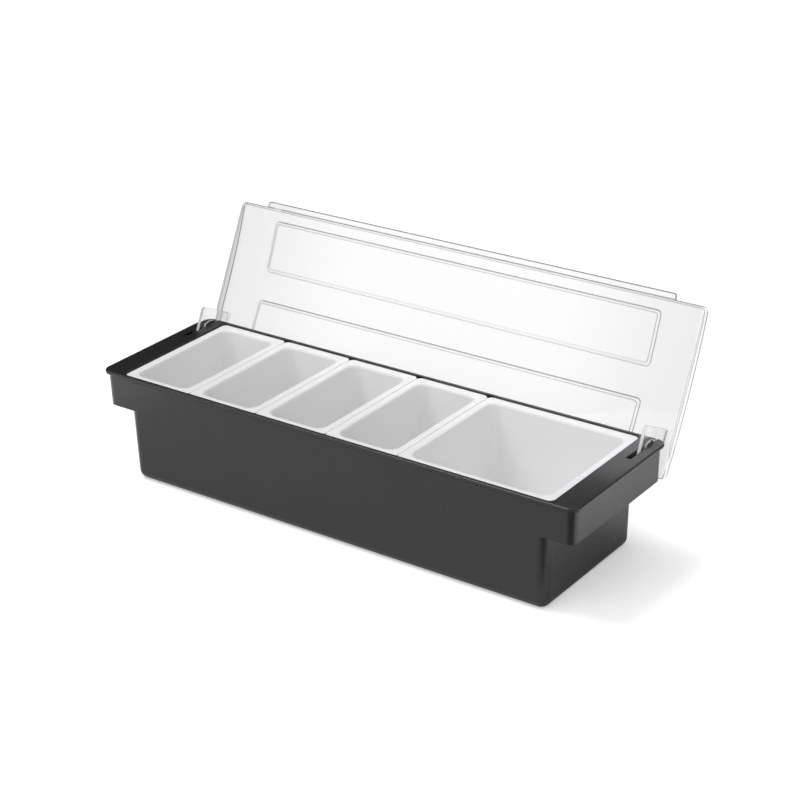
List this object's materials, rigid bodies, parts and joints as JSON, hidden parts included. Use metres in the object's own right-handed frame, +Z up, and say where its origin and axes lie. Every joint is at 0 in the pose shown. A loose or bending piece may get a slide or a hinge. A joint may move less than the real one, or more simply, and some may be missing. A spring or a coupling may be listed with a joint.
{
  "type": "condiment caddy",
  "caption": "Long black bar caddy with lift-out white tubs under a clear lid that flips up on hooked end tabs.",
  "frame": {"origin": "centre of the flat underside", "axes": "+X along the caddy to the double tub's end, +Y towards the hinge side, +Z up"},
  "size_m": [0.5, 0.2148, 0.2073],
  "materials": {
    "black_plastic": "fine satin texture from the mould",
    "clear_plastic": "polished clear",
    "white_plastic": "smooth satin"
  },
  "bodies": {
    "base": {"base": "black_plastic"},
    "lid": {"lid": "clear_plastic"},
    "tub_1": {"tub_1": "white_plastic"},
    "tub_2": {"tub_2": "white_plastic"},
    "tub_3": {"tub_3": "white_plastic"},
    "tub_4": {"tub_4": "white_plastic"},
    "tub_double": {"tub_double": "white_plastic"}
  },
  "joints": [
    {"name": "lid_hinge", "type": "hinge", "parent": "base", "child": "lid", "pos_m": [0, 0.0623, 0.0887], "axis": [-1, 0, 0], "range_deg": [-116.6, 0]},
    {"name": "tub_1_lift", "type": "slide", "parent": "base", "child": "tub_1", "axis": [0, 0, 1], "range_m": [0, 0.1]},
    {"name": "tub_2_lift", "type": "slide", "parent": "base", "child": "tub_2", "axis": [0, 0, 1], "range_m": [0, 0.1]},
    {"name": "tub_3_lift", "type": "slide", "parent": "base", "child": "tub_3", "axis": [0, 0, 1], "range_m": [0, 0.1]},
    {"name": "tub_4_lift", "type": "slide", "parent": "base", "child": "tub_4", "axis": [0, 0, 1], "range_m": [0, 0.1]},
    {"name": "tub_double_lift", "type": "slide", "parent": "base", "child": "tub_double", "axis": [0, 0, 1], "range_m": [0, 0.1]}
  ]
}
